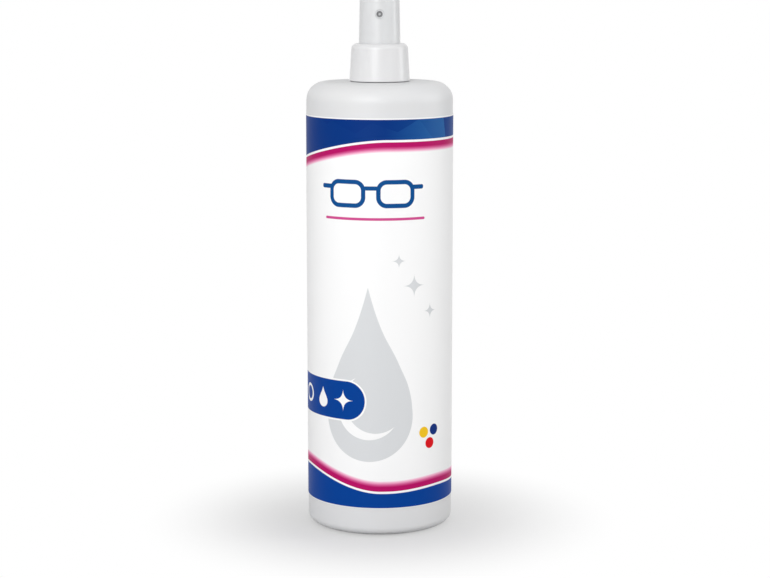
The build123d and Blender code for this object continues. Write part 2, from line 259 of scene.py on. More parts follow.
closure_plastic = injected_plastic("injected_polypropylene_closure", "#DBDBDC", 1.49, 0.30, 6)
head_plastic = injected_plastic("injected_polypropylene_head", "#D5D6D7", 1.49, 0.31, 5)
nozzle_plastic = injected_plastic("injected_acetal_nozzle", "#D2D3D5", 1.48, 0.30, 1.5)
housing_plastic = injected_plastic("natural_polypropylene", "#DFE1DF", 1.49, 0.34, 6)
inner_plastic = injected_plastic("injected_acetal", "#E4E4DF", 1.48, 0.30, 4)
piston_plastic = injected_plastic("soft_polyethylene", "#D8DADB", 1.51, 0.42, 3)
tube_plastic = injected_plastic("extruded_polyethylene", "#DBDDDE", 1.51, 0.36, 8)
print("injected plastics:", [made.name for made in bpy.data.materials if made.name != bottle_plastic.name])

# %% [markdown]
# ## Foam and steel
# The gasket is punched from foamed polyethylene, whose bubbles of about 0.3 mm are cut open on its faces.
# The spring and the ball are bright stainless steel: a metal, so its colour is that of its reflection, with
# a haze that drawing and rolling leave.

# %% Foamed polyethylene and stainless steel


def foamed_polyethylene():
    """Matt white foam with cut bubbles."""
    material, tree = new_material("foamed_polyethylene")
    place = add_node(tree, "TexCoord").outputs["Object"]
    bubbles = add_node(tree, "TexVoronoi", {"Vector": place, "Scale": 1 / (0.3 * MM)})
    pitted = add_node(
        tree, "Bump", {"Strength": 1.0, "Distance": 0.08 * MM, "Height": bubbles.outputs["Distance"]}
    )
    shader = add_node(
        tree,
        "BsdfPrincipled",
        {
            "Base Color": srgb("#E3E3DE"),
            "Roughness": 0.85,
            "IOR": 1.5,
            "Normal": pitted.outputs["Normal"],
        },
    )
    add_node(tree, "OutputMaterial", {"Surface": shader.outputs[0]})
    return material


def stainless_steel():
    """Bright stainless steel with a haze that varies slightly."""
    material, tree = new_material("bright_stainless_steel")
    place = add_node(tree, "TexCoord").outputs["Object"]
    haze = add_node(tree, "TexNoise", {"Vector": place, "Scale": 1 / (0.25 * MM), "Detail": 3.0})
    rough = add_node(
        tree, "MapRange", {"Value": haze.outputs["Fac"], "To Min": 0.14, "To Max": 0.30}
    )
    shader = add_node(
        tree,
        "BsdfPrincipled",
        {"Base Color": srgb("#C9C8C6"), "Metallic": 1.0, "Roughness": rough.outputs["Result"]},
    )
    add_node(tree, "OutputMaterial", {"Surface": shader.outputs[0]})
    return material


gasket_foam = foamed_polyethylene()
steel = stainless_steel()
print("made", gasket_foam.name, "and", steel.name)

# %% [markdown]
# ## Turned shapes
# Nearly every piece is round, so half of its outline says it all. The outline is a run of edges whose
# corners are rounded with a vertex bevel, and a spin turns it into a body. The bevel wants to know how far it
# may go along the edges, so a corner's radius is turned into that length with the corner's angle. A long
# edge gets a point near each end: shading is blended between points, and so the blend at a rounding stays
# beside the rounding and doesn't run along the whole flat.

# %% Helpers for turned shapes


def draw_outline(shape, corners, closed=True):
    """Adds edges through (radius, height, rounding) corners in mm, in the plane Y = 0."""
    points = [Vector((radius, 0, height)) * MM for radius, height, _ in corners]
    verts = [shape.verts.new(point) for point in points]
    for near, far in zip(verts, verts[1:]):
        shape.edges.new((near, far))
    if closed:
        shape.edges.new((verts[-1], verts[0]))
    for place, (_, _, rounding) in enumerate(corners):
        if rounding:
            into = points[place] - points[place - 1]
            out = points[(place + 1) % len(points)] - points[place]
            angle = into.angle(out)
            # No step of an arc is longer than 1.2 mm or turns by more than 8 degrees.
            steps = max(5, math.ceil(math.degrees(angle) / 8), math.ceil(rounding * angle / 1.2))
            bmesh.ops.bevel(
                shape,
                geom=[verts[place]],
                offset=rounding * MM * math.tan(angle / 2),
                segments=steps,
                profile=0.5,
                affect="VERTICES",
                material=-1,
            )
    hold_flats(shape)


def hold_flats(shape, gap=0.2 * MM, shortest=1.4 * MM):
    """Splits every longer loose edge a short way from both its ends."""
    for edge in [edge for edge in shape.edges if edge.is_wire and edge.calc_length() > shortest]:
        first, last = edge.verts
        _, near_first = bmesh.utils.edge_split(edge, first, gap / edge.calc_length())
        rest = shape.edges.get((near_first, last))
        bmesh.utils.edge_split(rest, last, gap / rest.calc_length())


def turn(shape, steps=192):
    """Spins the loose edges a full turn round the Z axis: an eighth first, which is then copied round."""
    spin = {"cent": (0, 0, 0), "axis": (0, 0, 1), "dvec": (0, 0, 0)}
    edges = [edge for edge in shape.edges if edge.is_wire]
    verts = {vert for edge in edges for vert in edge.verts}
    before = set(shape.faces)
    eighth = math.pi / 4
    bmesh.ops.spin(shape, geom=[*verts, *edges], angle=eighth, steps=steps // 8, use_merge=False, **spin)
    new_faces = set(shape.faces) - before
    sector = {part for face in new_faces for part in (face, *face.edges, *face.verts)}
    bmesh.ops.spin(shape, geom=list(sector), angle=7 * eighth, steps=7, use_duplicate=True, **spin)
    bmesh.ops.remove_doubles(shape, verts=shape.verts[:], dist=0.001 * MM)
    bmesh.ops.recalc_face_normals(shape, faces=shape.faces[:])


def turn_helix(shape, turns, rise, steps=144):
    """Spins loose edges into a helix that climbs by rise in mm, and closes its two ends."""
    edges = [edge for edge in shape.edges if edge.is_wire]
    verts = {vert for edge in edges for vert in edge.verts}
    bmesh.ops.spin(
        shape,
        geom=[*verts, *edges],
        cent=(0, 0, 0),
        axis=(0, 0, 1),
        dvec=(0, 0, rise * MM / steps),
        angle=2 * math.pi * turns,
        steps=steps,
        use_merge=False,
    )
    bmesh.ops.holes_fill(shape, edges=[edge for edge in shape.edges if edge.is_boundary], sides=0)
    bmesh.ops.recalc_face_normals(shape, faces=shape.faces[:])


# %% [markdown]
# Two shapes are joined, or one is cut out of the other, with a Boolean. It is a modifier, so both shapes
# become objects for a moment, and the result is read back into a bmesh.

# %% Helper that joins and cuts


def carve(body, tool, operation):
    """Joins a tool to a body or cuts it away, and returns the new bmesh."""
    pair = []
    for shape in (body, tool):
        mesh = bpy.data.meshes.new("carving")
        shape.to_mesh(mesh)
        shape.free()
        pair.append(bpy.data.objects.new("carving", mesh))
        scene.collection.objects.link(pair[-1])
    cut = pair[0].modifiers.new("carving", "BOOLEAN")
    cut.object = pair[1]
    cut.operation = operation
    cut.solver = "EXACT"
    made = bmesh.new()
    made.from_object(pair[0], bpy.context.evaluated_depsgraph_get())
    for thing in pair:
        mesh = thing.data
        bpy.data.objects.remove(thing)
        bpy.data.meshes.remove(mesh)
    return made


# %% [markdown]
# The neck and the closure carry the same thread, one outside and one inside. A thread could be pushed out of
# the wall itself, but then the whole wall would have to follow the helix. So a ridge is spun as a helix, with
# its root a little inside the wall, and is joined to it.

# %% Helper that adds a thread
thread_pitch, thread_turns, thread_depth = 3.0, 1.05, 1.0


def add_thread(body, wall_radius, crest_radius, start_z):
    """Joins a ridge to a round wall, inside or outside. The ridge's middle line begins at start_z."""
    half_root, half_crest, bite = 0.84, 0.4, 0.25
    root_radius = wall_radius - bite if crest_radius > wall_radius else wall_radius + bite
    ridge = bmesh.new()
    draw_outline(
        ridge,
        [
            (root_radius, start_z - half_root, 0),
            (crest_radius, start_z - half_crest, 0.15),
            (crest_radius, start_z + half_crest, 0.15),
            (root_radius, start_z + half_root, 0),
        ],
    )
    turn_helix(ridge, thread_turns, thread_pitch * thread_turns)
    return carve(body, ridge, "UNION")


print(f"thread: {thread_turns} turns, {thread_pitch} mm apart and {thread_depth} mm deep")

# %% [markdown]
# A finished bmesh becomes an object. Its faces are smooth, and an edge that turns by more than 32 degrees
# stays sharp. It sits at the origin with its place in its mesh, rides on a body of the frame, and stands for
# the CAD node of its name, which is then hidden.

# %% Helper that finishes a piece


def finish_piece(name, shape, material, body, sharp=math.radians(32)):
    """Turns a bmesh into an object that rides on a body and stands for the CAD node of that name."""
    for face in shape.faces:
        face.smooth = True
    for edge in shape.edges:
        edge.smooth = len(edge.link_faces) == 2 and edge.calc_face_angle(0) < sharp
    mesh = bpy.data.meshes.new(name)
    shape.to_mesh(mesh)
    shape.free()
    mesh.materials.append(material)
    made = bpy.data.objects.new(name + "_dressed", mesh)
    scene.collection.objects.link(made)
    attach(made, body)
    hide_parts(name)
    print(f"{made.name}: {len(mesh.polygons)} faces, on {body}")
    return made


# %% [markdown]
# ## The bottle
# It is one blown moulding with a wall of about a millimetre: a foot ring round a base that is pushed up, a
# straight wall for the label, a flat shoulder that rolls over into it, and a short neck with a thread of one
# turn. A Solidify modifier could give the wall, but the neck and the base are thicker than the side. So the
# outline runs up the outside and down the inside, and the spin gives it a real wall and mouth.

# %% Turn the bottle
shoulder_z, shoulder_roll = 152.9, 6.2
wall, base_wall = 1.1, 1.3
ring_inside, push_up = 19.6, 2.4
dome_edge, dome_bend = 9.95, 78
neck_radius, neck_wall = 7.6, 1.5
neck_thread_z = 155.3
bottle = bmesh.new()
draw_outline(
    bottle,
    [
        (0, push_up, 0),
        (dome_edge, push_up, dome_bend),
        (ring_inside, 0, 0.5),
        (body_radius, 0, 2.8),
        (body_radius, shoulder_z, shoulder_roll),
        (neck_radius, shoulder_z, 0.6),
        (neck_radius, land_z, 0.3),
        (neck_radius - neck_wall, land_z, 0.2),
        (neck_radius - neck_wall, shoulder_z - wall, 0.6),
        (body_radius - wall, shoulder_z - wall, shoulder_roll - wall),
        (body_radius - wall, base_wall, 2.8),
        (ring_inside, base_wall, 0.5),
        (dome_edge, push_up + base_wall, dome_bend),
        (0, push_up + base_wall, 0),
    ],
    closed=False,
)
turn(bottle, steps=256)
bottle = add_thread(bottle, neck_radius, neck_radius + thread_depth, neck_thread_z)
finish_piece("bottle", bottle, bottle_plastic, "bottle_body")

# %% [markdown]
# ## The closure
# A smooth collar that screws down over the neck. Its side leans in towards the top, as a moulded piece must
# to leave its mould, and an inner tube under its deck clamps the pump. A cylinder could be scaled and inset,
# but a turned outline shows its wall, its thread bore and the tube at once, each with its thickness.

# %% Turn the closure
closure_low, closure_high = low_high("closure")
closure_bore, shoulder_radius, aperture = 8.75, 9.55, 7.25
tube_radius, tube_foot, deck_z = 8.1, 161.65, 164.7
closure_thread_z = 154.05
closure = bmesh.new()
draw_outline(
    closure,
    [
        (closure_bore, closure_low.z, 0.1),
        (closure_high.x, closure_low.z, 0.3),
        (shoulder_radius, closure_high.z, 1.9),
        (aperture, closure_high.z, 0.3),
        (aperture, tube_foot, 0.1),
        (tube_radius, tube_foot, 0.1),
        (tube_radius, deck_z, 0.1),
        (closure_bore, deck_z, 0),
    ],
)
turn(closure)
closure = add_thread(closure, closure_bore, closure_bore - thread_depth, closure_thread_z)
finish_piece("closure", closure, closure_plastic, "closure_body")

# %% [markdown]
# ## The head
# The head is turned too: a skirt that goes down into the closure, a rounded top with a shallow dish for the
# finger, and inside it a column that grips the pump's stem. Only the nozzle's seat breaks the symmetry. It is
# made with Booleans: a boss is added from the inside, and a tool that leaves a post standing cuts the seat.

# %% Helper that lays a shape down
nozzle_low, nozzle_high = low_high("nozzle_insert")
nozzle_z = (nozzle_low.z + nozzle_high.z) / 2


def face_front(shape):
    """Lays a turned shape down, so that its height points to the front at the nozzle's height."""
    quarter = Matrix.Rotation(math.pi / 2, 3, "X")
    bmesh.ops.rotate(shape, verts=shape.verts[:], cent=(0, 0, 0), matrix=quarter)
    bmesh.ops.translate(shape, verts=shape.verts[:], vec=(0, 0, nozzle_z * MM))
    return shape


print(f"the middle of the nozzle is {nozzle_z:.2f} mm up")

# %% Turn the head
head_low, head_high = low_high("actuator")
head_top = head_high.z
crown_radius, skirt_radius, head_wall = 6.7, 7.05, 0.9
dish_radius, dish_floor, dish_depth, dish_bend = 4.0, 2.125, 1.0, 7.6
ceiling = head_top - 2.1
column_radius, column_foot = 3.0, 166.9
socket_radius, duct_radius = 2.04, 0.7
socket_end = column_foot + 4.0
head = bmesh.new()
draw_outline(
    head,
    [
        (0, head_top - dish_depth, 0),
        (dish_floor, head_top - dish_depth, dish_bend),
        (dish_radius, head_top, 0.5),
        (crown_radius, head_top, 2.5),
        (skirt_radius, head_low.z, 0.15),
        (skirt_radius - head_wall, head_low.z, 0.15),
        (crown_radius - head_wall, ceiling, 0.4),
        (column_radius, ceiling, 0.3),
        (column_radius, column_foot, 0.15),
        (socket_radius, column_foot, 0.2),
        (socket_radius, socket_end, 0),
        (duct_radius, socket_end, 0),
        (duct_radius, nozzle_z, 0),
        (0, nozzle_z, 0),
    ],
    closed=False,
)
turn(head)
print("turned the head:", len(head.faces), "faces")

# %% Add the boss and cut the nozzle's seat
# A height is a distance in front of the axis here, because each shape is laid down once it is turned.
boss_radius, boss_back, boss_front = 2.5, 1.0, 6.4
boss = bmesh.new()
draw_outline(
    boss,
    [
        (0, boss_back, 0),
        (boss_radius, boss_back, 0),
        (boss_radius, boss_front, 0),
        (0, boss_front, 0),
    ],
    closed=False,
)
turn(boss, steps=64)
head = carve(head, face_front(boss), "UNION")
seat_radius, seat_floor, past_skin = 1.6, 3.9, 12.0
post_radius, post_tip = 0.75, 5.45
seat = bmesh.new()
draw_outline(
    seat,
    [
        (0, post_tip, 0),
        (post_radius, post_tip, 0.1),
        (post_radius, seat_floor, 0),
        (seat_radius, seat_floor, 0),
        (seat_radius, past_skin, 0),
        (0, past_skin, 0),
    ],
    closed=False,
)
turn(seat, steps=96)
head = carve(head, face_front(seat), "DIFFERENCE")
print(f"the seat is {seat_radius} mm in radius, and its floor is {seat_floor} mm from the axis")

# %% Drill the feed
# It leads from the duct to the gap between the post and the wall of the seat, below the post.
feed_radius, feed_front = 0.35, 4.25
feed_drop = (post_radius + seat_radius) / 2
feed = bmesh.new()
feed_outline = [(0, 0, 0), (feed_radius, 0, 0), (feed_radius, feed_front, 0), (0, feed_front, 0)]
draw_outline(feed, feed_outline, closed=False)
turn(feed, steps=24)
bmesh.ops.translate(feed, verts=feed.verts[:], vec=(0, -feed_drop * MM, 0))
head = carve(head, face_front(feed), "DIFFERENCE")
finish_piece("actuator", head, head_plastic, "head_body")

# %% [markdown]
# ## The nozzle
# A cup about 3 mm across is pressed into the seat. Its face carries a deep ring round a small hub, and the
# spray leaves through a hole of 0.3 mm in the hub. The ring is what the eye sees as a dark dot. It is a real
# groove, and its colour is also darkened with depth: painted shade, for the shadow inside it.

# %% Paint shade into the nozzle's ring
unshaded_to, dark_from = 0.05, 0.6
tree = nozzle_plastic.node_tree
place = add_node(tree, "TexCoord").outputs["Object"]
depth = add_node(tree, "SeparateXYZ", {0: place}).outputs["Y"]
# Painted shade: the colour darkens with depth in the ring, for the shadow that falls into the recess.
recess_shade = add_node(
    tree,
    "MapRange",
    {
        "Value": depth,
        "From Min": (nozzle_low.y + unshaded_to) * MM,
        "From Max": (nozzle_low.y + dark_from) * MM,
        "To Min": 0.0,
        "To Max": 0.65,
    },
).outputs["Result"]
nozzle_shader = tree.nodes["Principled BSDF"]
clean = nozzle_shader.inputs["Base Color"].links[0].from_socket
# The ring's colour is mixed towards dark grey there: painted shade.
shade_mix = {"Factor": recess_shade, "A": clean, "B": srgb("#3C3D3F")}
shaded_colour = add_node(tree, "Mix", shade_mix, data_type="RGBA").outputs["Result"]
tree.links.new(shaded_colour, nozzle_shader.inputs["Base Color"])
print(f"the ring darkens from {unshaded_to} to {dark_from} mm below the nozzle's face")

# %% Turn the nozzle
front, back = -nozzle_low.y, -nozzle_high.y
cup_radius, cup_bore, cup_face = 1.58, 1.0, 0.95
ring_radius, hub_radius, ring_depth, orifice_radius = 1.05, 0.38, 0.75, 0.15
nozzle = bmesh.new()
draw_outline(
    nozzle,
    [
        (cup_radius, back, 0.05),
        (cup_radius, front, 0.12),
        (ring_radius, front, 0.06),
        (ring_radius, front - ring_depth, 0.05),
        (hub_radius, front - ring_depth, 0.05),
        (hub_radius, front, 0.06),
        (orifice_radius, front, 0.04),
        (orifice_radius, front - cup_face, 0),
        (cup_bore, front - cup_face, 0.1),
        (cup_bore, back, 0.05),
    ],
)
turn(nozzle, steps=96)
finish_piece("nozzle_insert", face_front(nozzle), nozzle_plastic, "head_body")

# %% [markdown]
# ## The label's print
# The film is printed flat and then wrapped, so its pattern is drawn in the flat: millimetres from the middle
# of the front, and millimetres above the table. Each motif is the distance to its edge, worked out with a
# few maths nodes and turned into an ink mask. That keeps every edge crisp at any size.

# %% Size of the flat film
label_low, label_high = low_high("label")
label_radius = label_high.x
film_thickness, seam_gap = 0.12, 3.0
film_width = 2 * math.pi * label_radius - seam_gap
film_height = label_high.z - label_low.z
print(f"flat film: {film_width:.1f} x {film_height:.1f} mm")

# %% Helpers that measure a motif


def centred_fold(tree, film, centre):
    """How far each place on the film lies from a centre, sideways and upwards, both as positive numbers."""
    centred = add_node(tree, "VectorMath", {0: film, 1: (*centre, 0)}, operation="SUBTRACT")
    return add_node(tree, "VectorMath", {0: centred.outputs[0]}, operation="ABSOLUTE").outputs[0]


def box_distance(tree, film, centre, half, corner):
    """Distance in mm from each place on the film to a rounded box, negative inside it."""
    core = (half[0] - corner, half[1] - corner, 0)
    folded = centred_fold(tree, film, centre)
    past = add_node(tree, "VectorMath", {0: folded, 1: core}, operation="SUBTRACT").outputs[0]
    outside = add_node(tree, "VectorMath", {0: past}, operation="MAXIMUM").outputs[0]
    length = add_node(tree, "VectorMath", {0: outside}, operation="LENGTH").outputs["Value"]
    return add_node(tree, "Math", {0: length, 1: corner}, operation="SUBTRACT").outputs[0]


def disc_distance(tree, film, centre, radius):
    """Distance in mm to a disc."""
    length = add_node(tree, "VectorMath", {0: film, 1: (*centre, 0)}, operation="DISTANCE")
    return add_node(tree, "Math", {0: length.outputs["Value"], 1: radius}, operation="SUBTRACT").outputs[0]


def line_distance(tree, distance, width):
    """Keeps of a shape only a line of that width just inside its edge."""
    middle = add_node(tree, "Math", {0: distance, 1: width / 2}, operation="ADD").outputs[0]
    folded = add_node(tree, "Math", {0: middle}, operation="ABSOLUTE").outputs[0]
    return add_node(tree, "Math", {0: folded, 1: width / 2}, operation="SUBTRACT").outputs[0]


def star_distance(tree, film, centre, reach):
    """A four-pointed star with hollow sides, for a clean sparkle."""
    parts = add_node(tree, "SeparateXYZ", {0: centred_fold(tree, film, centre)})
    side = add_node(tree, "Math", {0: parts.outputs["X"]}, operation="SQRT").outputs[0]
    rise = add_node(tree, "Math", {0: parts.outputs["Y"]}, operation="SQRT").outputs[0]
    both = add_node(tree, "Math", {0: side, 1: rise}, operation="ADD").outputs[0]
    return add_node(tree, "Math", {0: both, 1: math.sqrt(reach)}, operation="SUBTRACT").outputs[0]


def drop_distance(tree, film, centre, foot, tip, radius):
    """A liquid drop: a disc below, and above its middle a neck whose width comes from a curve."""
    belly = disc_distance(tree, film, (centre, foot + radius), radius)
    parts = add_node(tree, "SeparateXYZ", {0: film})
    reach = {"Value": parts.outputs["Y"], "From Min": foot + radius, "From Max": tip}
    height = add_node(tree, "MapRange", reach).outputs["Result"]
    outline = add_node(tree, "FloatCurve", {"Value": height})
    points = outline.mapping.curves[0].points
    points[0].location, points[1].location = (0, 1), (1, 0)
    for spot in ((0.15, 0.96), (0.4, 0.69), (0.7, 0.27)):
        points.new(*spot)
    outline.mapping.update()
    aside = add_node(tree, "Math", {0: parts.outputs["X"], 1: centre}, operation="SUBTRACT").outputs[0]
    folded = add_node(tree, "Math", {0: aside}, operation="ABSOLUTE").outputs[0]
    # The last 0.1 mm keeps ink off the middle line above the drop.
    half_width = {0: outline.outputs["Value"], 1: radius, 2: -0.1}
    half_width = add_node(tree, "Math", half_width, operation="MULTIPLY_ADD").outputs[0]
    neck = add_node(tree, "Math", {0: folded, 1: half_width}, operation="SUBTRACT").outputs[0]
    below = add_node(tree, "Math", {0: foot + radius, 1: parts.outputs["Y"]}, operation="SUBTRACT").outputs[0]
    neck = add_node(tree, "Math", {0: neck, 1: below}, operation="MAXIMUM").outputs[0]
    return add_node(tree, "Math", {0: belly, 1: neck}, operation="MINIMUM").outputs[0]


def print_ink(tree, paper, distance, ink, soft=0.06):
    """Prints an ink inside a shape, over what is already on the film."""
    mask = add_node(
        tree,
        "MapRange",
        {"Value": distance, "From Min": -soft, "From Max": soft, "To Min": 1.0, "To Max": 0.0},
    ).outputs["Result"]
    ink_over = {"Factor": mask, "A": paper, "B": srgb(ink)}
    return add_node(tree, "Mix", ink_over, data_type="RGBA").outputs["Result"]


# %% [markdown]
# The two bands have a waved edge: a blue field, a hairline of bare film, and a magenta stripe that fades
# away from it. A wave is a level line with soft bells on it, up or down, and a bell is one Map Range node
# with a smooth step. They are measured round the bottle, across the gap behind it, so the wave goes on
# there. A colour ramp over the distance to the wave gives all of the colours at once.

# %% The waved bands
FILM = "#F6F6F6"
BLUE = "#01307A"
DEEP_BLUE = "#023E90"
MAGENTA = "#B41262"
GREY = "#D5D7D9"
half_way_round = math.pi * label_radius


def above_wave(tree, film, level, bells):
    """Height in mm above a wave: a level line with (middle, half width, height) bells on it."""
    parts = add_node(tree, "SeparateXYZ", {0: film})
    above = add_node(tree, "Math", {0: parts.outputs["Y"], 1: level}, operation="SUBTRACT").outputs[0]
    for middle, half_width, height in bells:
        aside = add_node(tree, "Math", {0: parts.outputs["X"], 1: middle}, operation="SUBTRACT").outputs[0]
        round_film = {0: aside, 1: half_way_round, 2: -half_way_round}
        nearest = add_node(tree, "Math", round_film, operation="WRAP").outputs[0]
        away = add_node(tree, "Math", {0: nearest}, operation="ABSOLUTE").outputs[0]
        bell = add_node(
            tree,
            "MapRange",
            {"Value": away, "From Min": 0.0, "From Max": half_width, "To Min": height, "To Max": 0.0},
            interpolation_type="SMOOTHSTEP",
        ).outputs["Result"]
        above = add_node(tree, "Math", {0: above, 1: bell}, operation="SUBTRACT").outputs[0]
    return above


def band_colour(tree, distance, field, hairline, stripe, fade):
    """Bare film, fading magenta, a hairline and then the field, from outside the band to inside it."""
    soft, inside = 0.06, 0.5
    reach = hairline + stripe + fade + inside
    spread = add_node(
        tree, "MapRange", {"Value": distance, "From Min": -reach, "From Max": inside}
    ).outputs["Result"]
    ramp = add_node(tree, "ValToRGB", {"Fac": spread})
    stops = [
        (-hairline - stripe - fade, FILM),
        (-hairline - stripe - fade * 0.7, "#F0AFCB"),
        (-hairline - stripe - fade * 0.35, "#D45C96"),
        (-hairline - stripe, MAGENTA),
        (-hairline - soft, MAGENTA),
        (-hairline + soft, FILM),
        (-soft, FILM),
        (soft, field),
    ]
    elements = ramp.color_ramp.elements
    elements.remove(elements[0])
    for number, (along, ink) in enumerate(stops):
        spot = (along + reach) / (reach + inside)
        stop = elements[0] if number == 0 else elements.new(spot)
        stop.position = spot
        stop.color = srgb(ink)
    return ramp.outputs["Color"]


print("inks:", BLUE, DEEP_BLUE, MAGENTA, GREY, "on", FILM)

# %% [markdown]
# All of it comes together on the film, layer by layer, as in a printing press. First the bands.

# %% Print the bands
film_material, tree = new_material("printed_polypropylene_film")
flat = add_node(tree, "UVMap", uv_map="film").outputs["UV"]
film = add_node(
    tree,
    "Mapping",
    {
        "Vector": flat,
        "Location": (-film_width / 2, label_low.z, 0),
        "Scale": (film_width, film_height, 1),
    },
).outputs["Vector"]
into_top = above_wave(tree, film, level=134.9, bells=[(-51, 54, -8.4)])
above_foot = above_wave(tree, film, level=14.9, bells=[(-32, 32.5, 6.3), (22.5, 20, 0.9)])
into_foot = add_node(tree, "Math", {0: above_foot, 1: -1.0}, operation="MULTIPLY").outputs[0]
both_bands = {
    "Factor": 1.0,
    "A": band_colour(tree, into_top, BLUE, hairline=0.75, stripe=1.5, fade=1.9),
    "B": band_colour(tree, into_foot, DEEP_BLUE, hairline=0.75, stripe=1.6, fade=2.1),
}
paper = add_node(tree, "Mix", both_bands, data_type="RGBA", blend_type="DARKEN").outputs["Result"]
print("bands:", len(tree.nodes), "nodes")

# %% [markdown]
# The upper band shows facets of a lighter blue. Each cell of a Voronoi pattern of about 13 mm is one pane,
# and the panes grow lighter to the right.

# %% Print the facets
pane_size, bare_top, bare_foot = 13, 0.4, 0.2
panes = add_node(tree, "TexVoronoi", {"Vector": film, "Scale": 1 / pane_size}, voronoi_dimensions="2D")
pane_light = add_node(tree, "SeparateColor", {0: panes.outputs["Color"]}).outputs[0]
place_on_film = add_node(tree, "SeparateXYZ", {0: film})
to_right = add_node(
    tree,
    "MapRange",
    {"Value": place_on_film.outputs["X"], "From Min": 2.0, "From Max": 38.0, "To Min": 0.03},
).outputs["Result"]
lit = add_node(tree, "Math", {0: pane_light, 1: to_right}, operation="MULTIPLY").outputs[0]
inside = add_node(tree, "Math", {0: into_top, 1: 0.0}, operation="GREATER_THAN").outputs[0]
lit_inside = add_node(tree, "Math", {0: lit, 1: inside}, operation="MULTIPLY").outputs[0]
lighter = {"Factor": lit_inside, "A": paper, "B": srgb("#3276B4")}
paper = add_node(tree, "Mix", lighter, data_type="RGBA").outputs["Result"]
# A hair of bare film is left along both cut edges, because ink on a cut edge would flake.
blue_top = label_high.z - bare_top
from_top = add_node(
    tree, "Math", {0: blue_top, 1: place_on_film.outputs["Y"]}, operation="SUBTRACT"
).outputs[0]
paper = print_ink(tree, paper, from_top, FILM)
blue_foot = label_low.z + bare_foot
from_foot = add_node(
    tree, "Math", {0: place_on_film.outputs["Y"], 1: blue_foot}, operation="SUBTRACT"
).outputs[0]
paper = print_ink(tree, paper, from_foot, FILM)
print("facets:", len(tree.nodes), "nodes")

# %% [markdown]
# The front carries pictograms and no lettering: spectacles over a rule, a large pale drop with sparkles, a
# blue tab with three small signs, and three coloured dots. The spectacles are folded about their middle, so
# one lens, half a bridge and one arm make both sides. An image file could hold all of this, but it would blur
# when seen from near, and these shapes don't.

# %% Print the drop and the sparkles
drop = drop_distance(tree, film, centre=-4, foot=26, tip=86, radius=15.5)
paper = print_ink(tree, paper, drop, GREY)
# The shine is a crescent: what one disc leaves of another.
shine = disc_distance(tree, film, (-4, 44.5), 11.0)
shade = disc_distance(tree, film, (-1.6, 46.4), 10.6)
outside_shade = add_node(tree, "Math", {0: shade, 1: -1.0}, operation="MULTIPLY").outputs[0]
crescent = add_node(tree, "Math", {0: shine, 1: outside_shade}, operation="MAXIMUM").outputs[0]
paper = print_ink(tree, paper, crescent, FILM)
for centre, reach in (((12, 86), 4.2), ((18.5, 77), 2.8), ((6.5, 94.5), 2.6)):
    paper = print_ink(tree, paper, star_distance(tree, film, centre, reach), GREY, soft=0.03)
print("drop:", len(tree.nodes), "nodes")

# %% Print the spectacles
FRAME_BLUE = "#0E4C8A"
middle = add_node(tree, "VectorMath", {0: film, 1: (-3, 0, 0)}, operation="SUBTRACT").outputs[0]
halves = add_node(tree, "SeparateXYZ", {0: middle})
aside = add_node(tree, "Math", {0: halves.outputs["X"]}, operation="ABSOLUTE").outputs[0]
mirrored = add_node(tree, "CombineXYZ", {"X": aside, "Y": halves.outputs["Y"]}).outputs["Vector"]
lens = box_distance(tree, mirrored, (8.4, 117.0), (6.6, 4.7), 3.6)
bridge = box_distance(tree, mirrored, (0, 118.9), (2.4, 0.7), 0.6)
arm = box_distance(tree, mirrored, (16.2, 119.2), (2.2, 0.75), 0.6)
for motif in (line_distance(tree, lens, 1.5), bridge, arm):
    paper = print_ink(tree, paper, motif, FRAME_BLUE)
rule = box_distance(tree, film, (-2, 108.6), (18, 0.45), 0.4)
paper = print_ink(tree, paper, rule, "#CC4C8C")
print("spectacles:", len(tree.nodes), "nodes")

# %% Print the tab and the dots
tab_x, tab_z = -28.5, 46.7
paper = print_ink(tree, paper, box_distance(tree, film, (tab_x, tab_z), (24.0, 7.2), 7.1), FILM)
paper = print_ink(tree, paper, box_distance(tree, film, (tab_x, tab_z), (23.4, 6.6), 6.5), DEEP_BLUE)
ring = line_distance(tree, disc_distance(tree, film, (tab_x - 3.0, tab_z), 3.2), 0.9)
paper = print_ink(tree, paper, ring, FILM)
small_drop = drop_distance(tree, film, centre=-22.0, foot=tab_z - 3.4, tip=tab_z + 3.9, radius=2.2)
paper = print_ink(tree, paper, small_drop, FILM)
paper = print_ink(tree, paper, star_distance(tree, film, (-13.0, tab_z), 4.0), FILM, soft=0.03)
for centre, ink in (((16.0, 35.2), "#F0C225"), ((20.6, 35.6), "#0A2E78"), ((18.6, 31.2), "#D8121E")):
    paper = print_ink(tree, paper, disc_distance(tree, film, centre, 1.9), ink)
print("tab and dots:", len(tree.nodes), "nodes")

# %% [markdown]
# The back starts where the sides turn away. Such a label usually tells there how the spray is used. So three
# steps in blue frames stand on one side, a drop, a cloth and a sparkle, and a pale bare panel on the other.

# %% Print the back
steps_x, spray_z, wipe_z, shine_z = 58, 98, 74, 50
for height in (spray_z, wipe_z, shine_z):
    square = line_distance(tree, box_distance(tree, film, (steps_x, height), (9, 9), 3), 0.8)
    paper = print_ink(tree, paper, square, DEEP_BLUE)
spray = drop_distance(tree, film, centre=steps_x, foot=spray_z - 5.5, tip=spray_z + 6, radius=3.6)
paper = print_ink(tree, paper, spray, DEEP_BLUE)
cloth = line_distance(tree, box_distance(tree, film, (steps_x, wipe_z), (5, 3.6), 1.2), 0.9)
paper = print_ink(tree, paper, cloth, DEEP_BLUE)
paper = print_ink(tree, paper, star_distance(tree, film, (steps_x, shine_z), 6.5), DEEP_BLUE, soft=0.03)
paper = print_ink(tree, paper, box_distance(tree, film, (-61, 82), (10.5, 24), 3), "#E3E7EB")
print("back:", len(tree.nodes), "nodes")

# %% [markdown]
# Over the print lies a thin matt lacquer, which keeps reflections down and the inks deep. It follows the
# film's slight waves.

